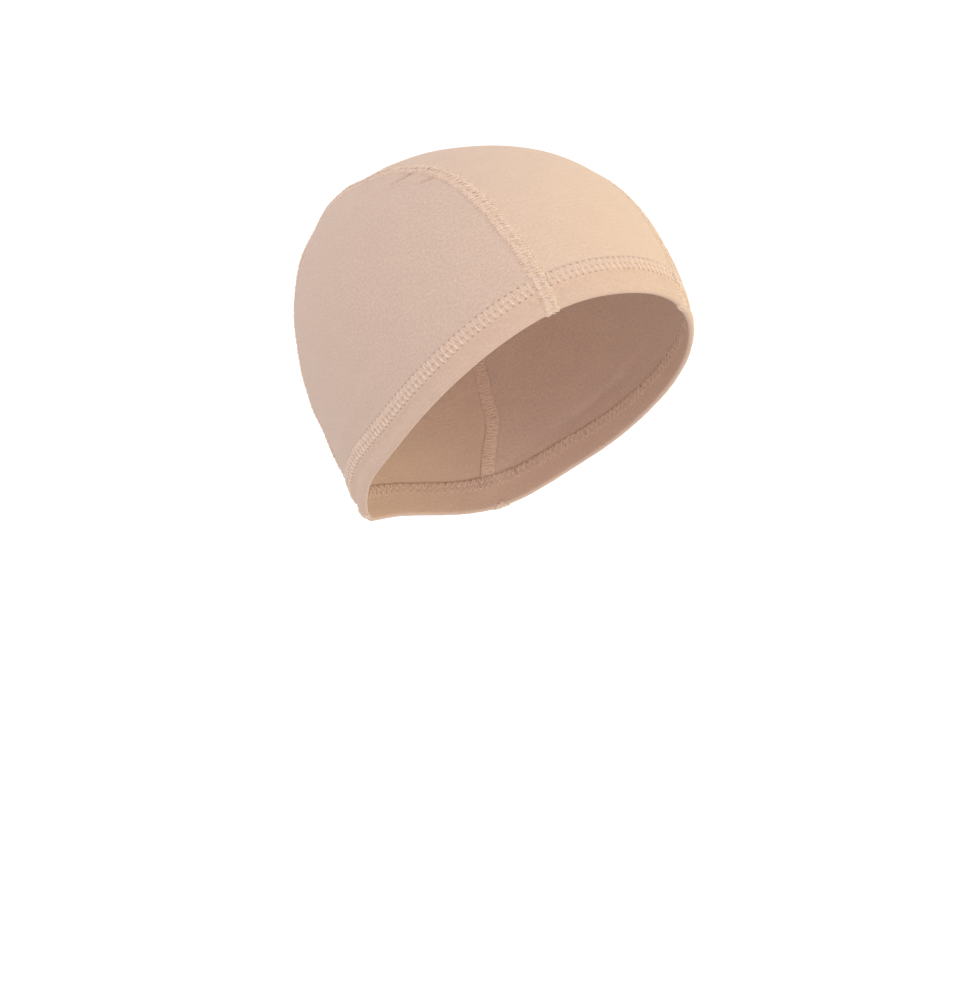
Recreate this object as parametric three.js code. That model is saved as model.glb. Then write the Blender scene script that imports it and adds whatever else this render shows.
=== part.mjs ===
import * as THREE from 'three'

// Wig cap of thin stretch jersey, in the form it has when worn.
// Millimetres, +Z up, the forehead faces -Y, the wearer's left is +X.
// The origin is the inside of the crown.

// Driving sizes
const PANEL_THICKNESS = 1.2
const SEAM_WIDTH = 7
const PIECE_GAP = 0.3

// Head form, the outside of the panels
// Rows run down from the crown, radii are taken from the middle of the head
const FORM_STEP = 15
const FORM_ROUNDNESS = 0.03
const FORM_ROWS = [
  { front: 97.6, side: 97.6, back: 97.6 },
  { front: 98.4, side: 98.4, back: 98.4 },
  { front: 96.7, side: 97.3, back: 103.0 },
  { front: 95.8, side: 93.6, back: 110.1 },
  { front: 96.8, side: 87.5, back: 108.3 },
  { front: 98.4, side: 81.0, back: 102.0 },
  { front: 99.2, side: 74.9, back: 95.2 },
  { front: 99.8, side: 71.6, back: 89.9 },
  { front: 100.2, side: 72.5, back: 88.3 },
  { front: 100.6, side: 77.6, back: 90.9 },
  { front: 100.8, side: 82.7, back: 94.1 },
]

// Lower edge of the hem, as an angle down from the crown, and the hem's height
// Rows run round from the forehead to the nape
const EDGE_STEP = 20
const EDGE_ROWS = [
  { down: 66.8, hem: 17.2 },
  { down: 68.9, hem: 16.8 },
  { down: 80.0, hem: 15.8 },
  { down: 98.8, hem: 15.0 },
  { down: 117.7, hem: 15.2 },
  { down: 127.9, hem: 15.8 },
  { down: 137.9, hem: 16.4 },
  { down: 141.9, hem: 16.6 },
  { down: 140.4, hem: 16.6 },
  { down: 138.3, hem: 16.6 },
]

// Half width of the centre panel, out to the middle of a seam
// Rows run over the head from the forehead to the nape
const STRIP_START = 10
const STRIP_STEP = 22.5
const STRIP_ROWS = [
  { half: 34.5 },
  { half: 39.2 },
  { half: 43.1 },
  { half: 42.2 },
  { half: 42.2 },
  { half: 48.8 },
  { half: 46.2 },
  { half: 52.2 },
  { half: 50.8 },
  { half: 49.4 },
  { half: 32.5 },
]

// Section of the turned-up hem, up as a share of its height
// and out from the panel face
const HEM_SECTION = [
  { up: 1.0, out: 0.1 },
  { up: 0.95, out: 0.4 },
  { up: 0.62, out: 0.4 },
  { up: 0.54, out: 0.1 },
  { up: 0.35, out: 0.5 },
  { up: 0.13, out: 0.5 },
  { up: 0.03, out: 0.1 },
  { up: 0.0, out: -0.6 },
  { up: 0.03, out: -1.4 },
  { up: 0.13, out: -1.8 },
  { up: 0.95, out: -1.8 },
  { up: 1.0, out: -1.4 },
]

// Section of a flat seam, across the seam and out from the panel face
const SEAM_SECTION = [
  { across: -3.5, out: 0.1 },
  { across: -2.6, out: 0.6 },
  { across: 2.6, out: 0.6 },
  { across: 3.5, out: 0.1 },
  { across: 3.5, out: -1.3 },
  { across: -3.5, out: -1.3 },
]

// How finely each piece is faceted
const PANEL_LENGTHWISE = 44
const SIDE_PANEL_ACROSS = 16
const CENTRE_PANEL_ACROSS = 10
const SEAM_LENGTHWISE = 48
const HEM_ROUND = 96

const RADIANS = Math.PI / 180

// Reads a table column as a smooth curve, mirrored past both ends
function smoothColumn(rows, column, position) {
  const last = rows.length - 1
  const start = Math.min(Math.max(Math.floor(position), 0), last - 1)
  const u = position - start
  const value = (k) => {
    const low = Math.abs(k)
    return rows[low > last ? 2 * last - low : low][column]
  }
  const before = (1 - u) ** 3
  const here = 3 * u ** 3 - 6 * u ** 2 + 4
  const next = -3 * u ** 3 + 3 * u ** 2 + 3 * u + 1
  const after = u ** 3
  const sum = before * value(start - 1) + here * value(start)
  return (sum + next * value(start + 1) + after * value(start + 2)) / 6
}

// Distance from the middle of the head to the panel face
function formRadius(direction) {
  const level = Math.hypot(direction.x, direction.y)
  const down = Math.atan2(level, direction.z) / RADIANS
  const position = down / FORM_STEP
  const side = smoothColumn(FORM_ROWS, 'side', position)
  const facing = direction.y < 0 ? 'front' : 'back'
  const along = smoothColumn(FORM_ROWS, facing, position)
  if (level < 1e-9) {
    return along
  }
  const power = 2 + FORM_ROUNDNESS * level ** 2
  const sideShare = (Math.abs(direction.x) / level / side) ** power
  const alongShare = (Math.abs(direction.y) / level / along) ** power
  return (sideShare + alongShare) ** (-1 / power)
}

const UP = new THREE.Vector3(0, 0, 1)
const INNER_CROWN = formRadius(UP) - PANEL_THICKNESS

function formPoint(direction) {
  const point = direction.clone().multiplyScalar(formRadius(direction))
  point.z -= INNER_CROWN
  return point
}

function directionTo(point) {
  return new THREE.Vector3(point.x, point.y, point.z + INNER_CROWN).normalize()
}

// Outward normal of the form, from four near points
function formNormal(direction) {
  const reference = Math.abs(direction.z) > 0.8 ? new THREE.Vector3(1, 0, 0) : UP
  const first = new THREE.Vector3().crossVectors(reference, direction).normalize()
  const second = new THREE.Vector3().crossVectors(direction, first)
  const near = (axis, step) => {
    return formPoint(direction.clone().addScaledVector(axis, step).normalize())
  }
  const one = near(first, 0.002).sub(near(first, -0.002))
  const two = near(second, 0.002).sub(near(second, -0.002))
  return one.cross(two).normalize()
}

function layerPoint(direction, out) {
  return formPoint(direction).addScaledVector(formNormal(direction), out)
}

function directionFrom(turn, down) {
  const level = Math.sin(down * RADIANS)
  const x = level * Math.sin(turn * RADIANS)
  const y = -level * Math.cos(turn * RADIANS)
  return new THREE.Vector3(x, y, Math.cos(down * RADIANS))
}

function turnOf(direction) {
  return Math.atan2(direction.x, -direction.y) / RADIANS
}

function downOf(direction) {
  return Math.acos(direction.z) / RADIANS
}

// Hem edge, turn runs from -180 to 180 degrees with the forehead at 0
function edgeColumn(column, turn) {
  const wrapped = Math.abs(turn) > 180 ? 360 - Math.abs(turn) : Math.abs(turn)
  return smoothColumn(EDGE_ROWS, column, wrapped / EDGE_STEP)
}

function edgeDirection(turn) {
  return directionFrom(turn, edgeColumn('down', turn))
}

// A point above the hem edge, up is a share of the hem's height over the cloth
function hemDirection(turn, share, extra = 0) {
  const up = share * edgeColumn('hem', turn) + extra
  const edge = edgeDirection(turn)
  const ahead = formPoint(edgeDirection(turn + 0.5))
  const along = ahead.sub(formPoint(edgeDirection(turn - 0.5))).normalize()
  const upward = new THREE.Vector3().crossVectors(formNormal(edge), along).normalize()
  return directionTo(formPoint(edge).addScaledVector(upward, up))
}

// The line where the panels end, as turn and down angles
function panelEndLine() {
  const samples = []
  for (let turn = -2; turn <= 182; turn += 1) {
    const direction = hemDirection(turn, 1, PIECE_GAP)
    const past = turn > 180 || turn < 0
    const away = Math.abs(turnOf(direction))
    samples.push({ turn: past ? (turn < 0 ? -away : 360 - away) : away, down: downOf(direction) })
  }
  return (turn) => {
    const wanted = Math.abs(turn)
    let k = 0
    while (k < samples.length - 2 && samples[k + 1].turn < wanted) {
      k += 1
    }
    const share = (wanted - samples[k].turn) / (samples[k + 1].turn - samples[k].turn)
    return samples[k].down + share * (samples[k + 1].down - samples[k].down)
  }
}

const panelLine = panelEndLine()

function heightAbovePanelLine(direction) {
  return panelLine(turnOf(direction)) - downOf(direction)
}

// Middle of a seam, over runs from 0 at the forehead through 90 at the crown
function seamMiddle(side, over) {
  const half = smoothColumn(STRIP_ROWS, 'half', (over - STRIP_START) / STRIP_STEP)
  let reach = 95
  let direction = UP
  for (let pass = 0; pass < 14; pass += 1) {
    const y = -reach * Math.cos(over * RADIANS)
    const z = reach * Math.sin(over * RADIANS)
    direction = new THREE.Vector3(side * half, y, z).normalize()
    const radius = formRadius(direction)
    reach = Math.sqrt(radius ** 2 - half ** 2)
  }
  return direction
}

// A line beside the seam, across is positive towards the ear
function seamDirection(side, over, across) {
  const middle = seamMiddle(side, over)
  const ahead = formPoint(seamMiddle(side, over + 0.5))
  const along = ahead.sub(formPoint(seamMiddle(side, over - 0.5))).normalize()
  const outward = new THREE.Vector3().crossVectors(formNormal(middle), along)
  outward.normalize().multiplyScalar(-side * across)
  return directionTo(formPoint(middle).add(outward))
}

// Where a line over the head meets the panel line, in front and behind
function meeting(line, low, high) {
  const lowIsAbove = heightAbovePanelLine(line(low)) > 0
  let a = low
  let b = high
  for (let pass = 0; pass < 40; pass += 1) {
    const middle = (a + b) / 2
    const isAbove = heightAbovePanelLine(line(middle)) > 0
    if (isAbove === lowIsAbove) {
      a = middle
    } else {
      b = middle
    }
  }
  return (a + b) / 2
}

function trimmedLine(line) {
  const start = meeting(line, 5, 90)
  const end = meeting(line, 90, 240)
  return (share) => line(start + share * (end - start))
}

// Even spacing over the sphere of directions
function between(one, two, share) {
  const angle = one.angleTo(two)
  if (angle < 1e-6) {
    return one.clone()
  }
  const first = Math.sin((1 - share) * angle) / Math.sin(angle)
  const second = Math.sin(share * angle) / Math.sin(angle)
  return one.clone().multiplyScalar(first).addScaledVector(two, second)
}

// Closed mesh from points and triangles, turned so that it faces outwards
function closedMesh(name, points, faces, material) {
  let volume = 0
  const product = new THREE.Vector3()
  for (const [a, b, c] of faces) {
    volume += product.crossVectors(points[b], points[c]).dot(points[a])
  }
  const outward = volume > 0 ? faces : faces.map(([a, b, c]) => [a, c, b])
  const geometry = new THREE.BufferGeometry()
  const numbers = points.flatMap((point) => [point.x, point.y, point.z])
  geometry.setAttribute('position', new THREE.Float32BufferAttribute(numbers, 3))
  geometry.setIndex(outward.flat())
  geometry.computeVertexNormals()
  const mesh = new THREE.Mesh(geometry, material)
  mesh.name = name
  return mesh
}

// Panel of even thickness from a grid of directions
// The first and last rows may shrink to a point, which then stays one vertex
function panel(name, grid, material) {
  const points = []
  const index = grid.map((row) => {
    const isPoint = row[0].distanceTo(row[row.length - 1]) < 1e-5
    return row.map((direction, j) => {
      if (!isPoint || j === 0) {
        points.push(layerPoint(direction, 0))
      }
      return points.length - 1
    })
  })
  const outerCount = points.length
  const directions = points.map(directionTo)
  for (const direction of directions) {
    points.push(layerPoint(direction, -PANEL_THICKNESS))
  }
  const outer = []
  const addFace = (a, b, c) => {
    if (a !== b && b !== c && c !== a) {
      outer.push([a, b, c])
    }
  }
  for (let i = 0; i + 1 < grid.length; i += 1) {
    for (let j = 0; j + 1 < grid[i].length; j += 1) {
      addFace(index[i][j], index[i + 1][j], index[i + 1][j + 1])
      addFace(index[i][j], index[i + 1][j + 1], index[i][j + 1])
    }
  }
  const faces = []
  const edges = new Set()
  for (const [a, b, c] of outer) {
    faces.push([a, b, c], [a + outerCount, c + outerCount, b + outerCount])
    edges.add(`${a} ${b}`).add(`${b} ${c}`).add(`${c} ${a}`)
  }
  for (const edge of edges) {
    const [p, q] = edge.split(' ').map(Number)
    if (!edges.has(`${q} ${p}`)) {
      faces.push([q, p, p + outerCount], [q, p + outerCount, q + outerCount])
    }
  }
  return closedMesh(name, points, faces, material)
}

// Band from a list of sections, closed in a ring or capped at both ends
function band(name, sections, isRing, material) {
  const points = sections.flat()
  const around = sections[0].length
  const faces = []
  const steps = isRing ? sections.length : sections.length - 1
  for (let i = 0; i < steps; i += 1) {
    for (let j = 0; j < around; j += 1) {
      const a = i * around + j
      const b = i * around + ((j + 1) % around)
      const c = ((i + 1) % sections.length) * around + j
      const d = ((i + 1) % sections.length) * around + ((j + 1) % around)
      faces.push([a, b, d], [a, d, c])
    }
  }
  if (!isRing) {
    const last = (sections.length - 1) * around
    for (let j = 1; j + 1 < around; j += 1) {
      faces.push([0, j + 1, j], [last, last + j, last + j + 1])
    }
  }
  return closedMesh(name, points, faces, material)
}

function steps(count) {
  return Array.from({ length: count + 1 }, (_, k) => k / count)
}

function sidePanel(name, side, material) {
  const edgeOffset = SEAM_WIDTH / 2 + PIECE_GAP
  const top = trimmedLine((over) => seamDirection(side, over, edgeOffset))
  const front = turnOf(top(0))
  const back = turnOf(top(1))
  const grid = steps(PANEL_LENGTHWISE).map((along) => {
    const turn = front + along * (back - front)
    const bottom = directionFrom(turn, panelLine(turn))
    const rim = along === 0 || along === 1 ? top(along) : bottom
    return steps(SIDE_PANEL_ACROSS).map((across) => between(top(along), rim, across))
  })
  return panel(name, grid, material)
}

function centrePanel(name, material) {
  const edgeOffset = -(SEAM_WIDTH / 2 + PIECE_GAP)
  const lines = steps(CENTRE_PANEL_ACROSS).map((across) => {
    return trimmedLine((over) => {
      const right = seamDirection(-1, over, edgeOffset)
      const left = seamDirection(1, over, edgeOffset)
      return between(right, left, across)
    })
  })
  const grid = steps(PANEL_LENGTHWISE).map((along) => lines.map((line) => line(along)))
  return panel(name, grid, material)
}

function seam(name, side, material) {
  const lines = SEAM_SECTION.map((corner) => {
    const line = trimmedLine((over) => seamDirection(side, over, corner.across))
    return (along) => layerPoint(line(along), corner.out)
  })
  const sections = steps(SEAM_LENGTHWISE).map((along) => lines.map((line) => line(along)))
  return band(name, sections, false, material)
}

function hem(name, material) {
  const sections = []
  for (let k = 0; k < HEM_ROUND; k += 1) {
    const turn = -180 + (360 * k) / HEM_ROUND
    const place = (corner) => layerPoint(hemDirection(turn, corner.up), corner.out)
    sections.push(HEM_SECTION.map(place))
  }
  return band(name, sections, true, material)
}

function cloth(name, colour) {
  const material = new THREE.MeshStandardMaterial({ color: colour, roughness: 0.92, metalness: 0 })
  material.name = name
  return material
}

const jersey = cloth('jersey', '#dec1ac')
const seamThread = cloth('seam_thread', '#e3c6b1')
const hemJersey = cloth('hem_jersey', '#e0c2ad')

const wigCap = new THREE.Group()
wigCap.name = 'wig_cap'
wigCap.add(centrePanel('centre_panel', jersey))
wigCap.add(sidePanel('side_panel_right', -1, jersey))
wigCap.add(sidePanel('side_panel_left', 1, jersey))
wigCap.add(seam('seam_right', -1, seamThread))
wigCap.add(seam('seam_left', 1, seamThread))
wigCap.add(hem('hem_band', hemJersey))

export default wigCap
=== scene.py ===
import math
import bpy
import numpy as np
from mathutils import Matrix, Vector


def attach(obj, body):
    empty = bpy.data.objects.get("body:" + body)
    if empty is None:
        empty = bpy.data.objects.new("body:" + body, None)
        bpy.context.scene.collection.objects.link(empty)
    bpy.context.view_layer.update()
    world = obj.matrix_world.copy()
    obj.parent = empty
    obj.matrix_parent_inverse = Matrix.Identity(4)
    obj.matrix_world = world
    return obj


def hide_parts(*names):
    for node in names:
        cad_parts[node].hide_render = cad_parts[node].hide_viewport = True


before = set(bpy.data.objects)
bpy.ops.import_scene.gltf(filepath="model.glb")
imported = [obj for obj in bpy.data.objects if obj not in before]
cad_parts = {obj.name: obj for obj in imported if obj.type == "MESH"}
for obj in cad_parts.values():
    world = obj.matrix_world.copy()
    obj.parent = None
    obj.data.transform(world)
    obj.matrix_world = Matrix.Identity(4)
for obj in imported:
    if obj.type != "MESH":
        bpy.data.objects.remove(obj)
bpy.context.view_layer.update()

# Sizes in millimetres, as in the CAD part
PANEL_THICKNESS = 1.2
SEAM_WIDTH = 7.0
CLOTH = 0.9

# Head form, rows every 15 degrees down from the crown
FORM_STEP = 15
FORM_ROUNDNESS = 0.03
FRONT = np.array([97.6, 98.4, 96.7, 95.8, 96.8, 98.4, 99.2, 99.8, 100.2, 100.6, 100.8])
SIDE = np.array([97.6, 98.4, 97.3, 93.6, 87.5, 81.0, 74.9, 71.6, 72.5, 77.6, 82.7])
BACK = np.array([97.6, 98.4, 103.0, 110.1, 108.3, 102.0, 95.2, 89.9, 88.3, 90.9, 94.1])

# Hem edge and hem height, rows every 20 degrees of turn from forehead to nape
EDGE_STEP = 20
EDGE_DOWN = np.array([66.8, 68.9, 80.0, 98.8, 117.7, 127.9, 137.9, 141.9, 140.4, 138.3])
HEM_HEIGHT = np.array([17.2, 16.8, 15.8, 15.0, 15.2, 15.8, 16.4, 16.6, 16.6, 16.6])

# Half width of the centre panel, rows over the head from forehead to nape
STRIP_START = 10
STRIP_STEP = 22.5
STRIP_HALF = np.array([34.5, 39.2, 43.1, 42.2, 42.2, 48.8, 46.2, 52.2, 50.8, 49.4, 32.5])

DEGREE = math.pi / 180


# ---------------- form
def unit(v):
    return v / np.linalg.norm(v, axis=-1, keepdims=True)


def dot(a, b):
    return (a * b).sum(-1, keepdims=True)


def smooth_column(values, position):
    last = len(values) - 1
    start = np.clip(np.floor(position).astype(int), 0, last - 1)
    u = position - start

    def value(k):
        low = np.abs(k)
        return values[np.where(low > last, 2 * last - low, low)]

    total = (1 - u) ** 3 * value(start - 1)
    total += (3 * u ** 3 - 6 * u ** 2 + 4) * value(start)
    total += (-3 * u ** 3 + 3 * u ** 2 + 3 * u + 1) * value(start + 1)
    return (total + u ** 3 * value(start + 2)) / 6


# Shallow hollows and swellings of the worn cloth that the solids leave out, both sides alike:
# turn, down, height in mm and half width in degrees
TOUCHES = [(143.5, 54.0, -1.6, 6.5), (140.0, 119.0, -1.2, 9.0), (140.0, 84.0, -1.3, 8.0),
           (147.0, 42.5, 0.7, 3.6), (121.0, 28.0, 1.0, 5.0), (133.0, 39.0, 0.6, 3.4),
           (142.0, 98.0, -0.6, 6.0), (140.0, 110.0, -1.0, 6.0), (141.0, 128.0, -1.4, 6.0),
           (143.0, 70.0, -0.6, 7.0)]


def touch(d):
    """How far the worn form differs from the solids' form, in mm."""
    total = 0.0
    for turn, down, height, width in TOUCHES:
        t, a = turn * DEGREE, down * DEGREE
        spot = (math.sin(a) * math.sin(t), -math.sin(a) * math.cos(t), math.cos(a))
        near = np.abs(d[..., 0]) * spot[0] + d[..., 1] * spot[1] + d[..., 2] * spot[2]
        total = total + height * np.exp((near - 1) * 2 / (width * DEGREE) ** 2)
    return total


def form_radius(d):
    level = np.hypot(d[..., 0], d[..., 1])
    position = np.arctan2(level, d[..., 2]) / DEGREE / FORM_STEP
    side = smooth_column(SIDE, position)
    front = smooth_column(FRONT, position)
    back = smooth_column(BACK, position)
    along = np.where(d[..., 1] < 0, front, back)
    power = 2 + FORM_ROUNDNESS * level ** 2
    safe = np.maximum(level, 1e-9)
    share = (np.abs(d[..., 0]) / safe / side) ** power
    share = share + (np.abs(d[..., 1]) / safe / along) ** power
    radius = np.where(level < 1e-8, along, np.maximum(share, 1e-12) ** (-1 / power))
    return radius + touch(d)


UP = np.array([0.0, 0.0, 1.0])
INNER_CROWN = float(form_radius(UP)) - PANEL_THICKNESS
LOWER = np.array([0.0, 0.0, INNER_CROWN])


def form_point(d):
    return d * form_radius(d)[..., None] - LOWER


def direction_to(p):
    return unit(p + LOWER)


def form_normal(d):
    steep = np.abs(d[..., 2:3]) > 0.8
    reference = np.where(steep, np.array([1.0, 0, 0]), UP)
    first = unit(np.cross(reference, d))
    second = np.cross(d, first)
    one = form_point(unit(d + 0.002 * first)) - form_point(unit(d - 0.002 * first))
    two = form_point(unit(d + 0.002 * second)) - form_point(unit(d - 0.002 * second))
    return unit(np.cross(one, two))


def layer_point(d, out):
    return form_point(d) + form_normal(d) * np.asarray(out)[..., None]


def direction_from(turn, down):
    t, a = np.asarray(turn) * DEGREE, np.asarray(down) * DEGREE
    return np.stack([np.sin(a) * np.sin(t), -np.sin(a) * np.cos(t), np.cos(a)], -1)


def turn_of(d):
    return np.arctan2(d[..., 0], -d[..., 1]) / DEGREE


def down_of(d):
    return np.arccos(np.clip(d[..., 2], -1, 1)) / DEGREE


# ---------------- hem edge
def edge_column(values, turn):
    wrapped = np.abs((np.asarray(turn, float) + 180) % 360 - 180)
    return smooth_column(values, wrapped / EDGE_STEP)


def edge_direction(turn):
    return direction_from(turn, edge_column(EDGE_DOWN, turn))


def edge_frame(turn):
    here = edge_direction(turn)
    ahead = form_point(edge_direction(turn + 0.5)) - form_point(edge_direction(turn - 0.5))
    along = unit(ahead)
    upward = unit(np.cross(form_normal(here), along))
    return form_point(here), along, upward, np.linalg.norm(ahead, axis=-1)


def hem_direction(turn, up):
    edge, _, upward, _ = edge_frame(turn)
    return direction_to(edge + upward * np.asarray(up)[..., None])


def hem_coordinates(d):
    """Turn along the edge and height above it, for any direction near the hem."""
    point = form_point(d)
    turn = turn_of(d)
    for _ in range(8):
        edge, along, upward, speed = edge_frame(turn)
        away = point - edge
        turn = turn + np.clip(dot(away, along)[..., 0] / speed, -6, 6)
    edge, along, upward, speed = edge_frame(turn)
    return turn, dot(point - edge, upward)[..., 0]


TURNS = np.linspace(-180, 180, 3601)
EDGE_POINTS = form_point(edge_direction(TURNS))
EDGE_RUN = np.r_[0, np.cumsum(np.linalg.norm(np.diff(EDGE_POINTS, axis=0), axis=1))]
HEM_LENGTH = EDGE_RUN[-1]


def turn_at(run):
    return np.interp(np.asarray(run) % HEM_LENGTH, EDGE_RUN, TURNS)


def run_at(turn):
    return np.interp((np.asarray(turn) + 180) % 360 - 180, TURNS, EDGE_RUN)


# ---------------- seams
def seam_middle(side, over):
    half = smooth_column(STRIP_HALF, (over - STRIP_START) / STRIP_STEP)
    reach = np.full(np.shape(over), 95.0)
    for _ in range(14):
        y = -reach * np.cos(over * DEGREE)
        z = reach * np.sin(over * DEGREE)
        d = unit(np.stack([side * half, y, z], -1))
        reach = np.sqrt(form_radius(d) ** 2 - half ** 2)
    return d


def seam_direction(side, over, across):
    over = np.asarray(over, float)
    middle = seam_middle(side, over)
    ahead = form_point(seam_middle(side, over + 0.5))
    along = unit(ahead - form_point(seam_middle(side, over - 0.5)))
    outward = -side * unit(np.cross(form_normal(middle), along))
    return direction_to(form_point(middle) + outward * np.asarray(across)[..., None])


OVERS = np.linspace(-6, 242, 1241)
SEAM_LINE = form_point(seam_middle(-1, OVERS))
SEAM_RUN = np.r_[0, np.cumsum(np.linalg.norm(np.diff(SEAM_LINE, axis=0), axis=1))]
SEAM_HEM = hem_coordinates(seam_middle(-1, OVERS))[1]


def over_at(run):
    return np.interp(run, SEAM_RUN, OVERS)


def seam_distance(points):
    """Distance from the nearer seam's middle line, and the run along it."""
    flat = np.array(points, float).reshape(-1, 3)
    flat[:, 0] = -np.abs(flat[:, 0])
    line = SEAM_LINE[::3]
    distance = np.empty(len(flat))
    nearest = np.empty(len(flat), int)
    for a in range(0, len(flat), 4000):
        gap = ((flat[a:a + 4000, None, :] - line[None]) ** 2).sum(-1)
        nearest[a:a + 4000] = gap.argmin(1)
        distance[a:a + 4000] = np.sqrt(gap.min(1))
    shape = np.shape(points)[:-1]
    return distance.reshape(shape), SEAM_RUN[::3][nearest].reshape(shape)


# ---------------- relief
rng = np.random.default_rng(41)


def wave_noise(points, wavelength, seed, count=22):
    """Smooth noise of about -1 to 1, from waves in random directions."""
    draw = np.random.default_rng(seed)
    k = unit(draw.normal(size=(count, 3)))
    k *= (2 * math.pi / wavelength) * draw.uniform(0.6, 1.5, (count, 1))
    phase = draw.uniform(0, 2 * math.pi, count)
    return np.sin(points @ k.T + phase).sum(-1) * (1.3 / math.sqrt(count))


def smoothstep(low, high, x):
    u = np.clip((x - low) / (high - low), 0, 1)
    return u * u * (3 - 2 * u)


# Creases and soft ridges of the worn cloth, as lines of turn and down angles on the
# wearer's right, height and half width in mm
CREASES = [
    {"height": 0.8, "width": 2.6, "line": [(-73.8, 81.9), (-80.2, 88.2), (-89.2, 96.4),
                                            (-100.5, 105.9), (-113.8, 114.6), (-124, 119.8)]},
    {"height": -0.3, "width": 3.2, "line": [(-78, 96), (-88, 104), (-99, 111.5)]},
    {"height": -2.9, "width": 1.0, "line": [(-90.4, 25.9), (-92.6, 28.5), (-93.8, 29.9),
                                             (-94.6, 31.4), (-97.6, 33.6)]},
    {"height": 0.8, "width": 1.5, "line": [(-84, 29.8), (-90.5, 32.0), (-97, 35.5)]},
    {"height": -1.9, "width": 1.1, "line": [(-72.0, 28.8), (-74.4, 29.9), (-77, 30.8),
                                            (-79.1, 31.6), (-81.5, 32.9)]},
    {"height": 0.8, "width": 2.4, "line": [(-112, 48), (-106.5, 41), (-101.5, 36), (-93.8, 31)]},
    {"height": -0.4, "width": 2.4, "line": [(-118, 45.5), (-112, 39), (-106, 33.5)]},
    {"height": -0.45, "width": 2.0, "line": [(-113, 52), (-114, 55.5)]},
    {"height": -0.5, "width": 1.8, "line": [(-116, 119), (-121, 121)]},
    {"height": -0.4, "width": 2.0, "line": [(-126, 42.5), (-129, 41)]},
    {"height": 0.28, "width": 1.3, "line": [(-41.8, 65), (-37.5, 63.2), (-32.8, 61.6)]},
    {"height": -0.28, "width": 1.3, "line": [(-44, 63.6), (-38.2, 60.9)]},
    {"height": 0.25, "width": 1.4, "line": [(-46.8, 69.2), (-41, 66.9), (-37, 65.2)]},
]
# the creases of the side that the photo hides are shallower
HIDDEN_SIDE_SHARE = 0.45
# hollow of the centre cloth behind the crown: depth in mm, over angle and spread in degrees
HOLLOW_DEPTH, HOLLOW_OVER, HOLLOW_SPREAD = 2.7, 118, 8
# gaps from the seam's middle between which it grows to its full depth
HOLLOW_EDGE = (2.6, 13)


def line_distance(points, line):
    """Distance in mm from a line of form points, and the share along it."""
    best = np.full(points.shape[:-1], 1e9)
    share = np.zeros(points.shape[:-1])
    for i in range(len(line) - 1):
        a, b = line[i], line[i + 1]
        u = np.clip(((points - a) @ (b - a)) / ((b - a) @ (b - a)), 0, 1)
        gap = np.linalg.norm(points - a - u[..., None] * (b - a), axis=-1)
        closer = gap < best
        best = np.where(closer, gap, best)
        share = np.where(closer, (i + u) / (len(line) - 1), share)
    return best, share


def cloth_relief(d, side):
    """How far the cloth stands off the form, in mm."""
    points = form_point(d)
    mirrored = points * np.array([-side if side else -1.0, 1, 1])
    seam_gap, _ = seam_distance(points)
    turn, height = hem_coordinates(d)
    hem_gap = height - edge_column(HEM_HEIGHT, turn)
    broad = (0.12 if side else 0.05) * wave_noise(points, 62, 3)
    broad += (0.05 if side else 0.03) * wave_noise(points, 24, 5)
    # gathers that the stitching pulls into the cloth beside it
    pull = 0.10 * wave_noise(points, 6.5, 7) + 0.06 * wave_noise(points, 3.0, 8)
    near = np.exp(-np.abs(hem_gap) / 5.0) + np.exp(-np.abs(seam_gap - 3.5) / 4.5)
    relief = broad + pull * near
    relief -= 0.10 * np.exp(-((seam_gap - 4.6) / 1.6) ** 2)
    if not side:
        # the cloth lies lower behind the crown, where the two seams pull tight
        over = np.arctan2(points[..., 2] + INNER_CROWN, -points[..., 1]) / DEGREE
        sunk = HOLLOW_DEPTH * np.exp(-((over - HOLLOW_OVER) / HOLLOW_SPREAD) ** 2)
        relief -= sunk * smoothstep(*HOLLOW_EDGE, seam_gap)
    if side:
        for crease in CREASES:
            spots = np.array(crease["line"])
            line = form_point(direction_from(spots[:, 0], spots[:, 1]))
            gap, share = line_distance(mirrored, line)
            ends = 0.1 + 0.9 * np.sin(math.pi * np.clip(share, 0.03, 0.97))
            size = crease["height"] * (1.0 if side < 0 else HIDDEN_SIDE_SHARE)
            relief += size * ends * np.exp(-(gap / crease["width"]) ** 2)
    # the edges lie flat under the seams and the hem
    settle = smoothstep(1.0, 3.6, hem_gap) * smoothstep(2.6, 4.6, seam_gap)
    return relief * settle


# ---------------- meshes
def grid_quads(rows, columns, offset=0, wrap_rows=False, wrap_columns=False):
    i = np.arange(rows if wrap_rows else rows - 1)
    j = np.arange(columns if wrap_columns else columns - 1)
    i, j = (x.ravel() for x in np.meshgrid(i, j, indexing="ij"))
    i2, j2 = (i + 1) % rows, (j + 1) % columns
    quads = np.stack([i * columns + j, i2 * columns + j, i2 * columns + j2, i * columns + j2], -1)
    return quads + offset


def make_object(name, points, quads, material):
    """A smooth mesh object from points in mm."""
    mesh = bpy.data.meshes.new(name)
    mesh.vertices.add(len(points))
    mesh.vertices.foreach_set("co", (points * 0.001).astype(np.float32).ravel())
    mesh.loops.add(quads.size)
    mesh.loops.foreach_set("vertex_index", quads.astype(np.int32).ravel())
    mesh.polygons.add(len(quads))
    mesh.polygons.foreach_set("loop_start", np.arange(0, quads.size, 4, dtype=np.int32))
    mesh.polygons.foreach_set("use_smooth", np.ones(len(quads), bool))
    mesh.update(calc_edges=True)
    mesh.validate()
    mesh.materials.append(material)
    made = bpy.data.objects.new(name, mesh)
    bpy.context.scene.collection.objects.link(made)
    return made


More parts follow.
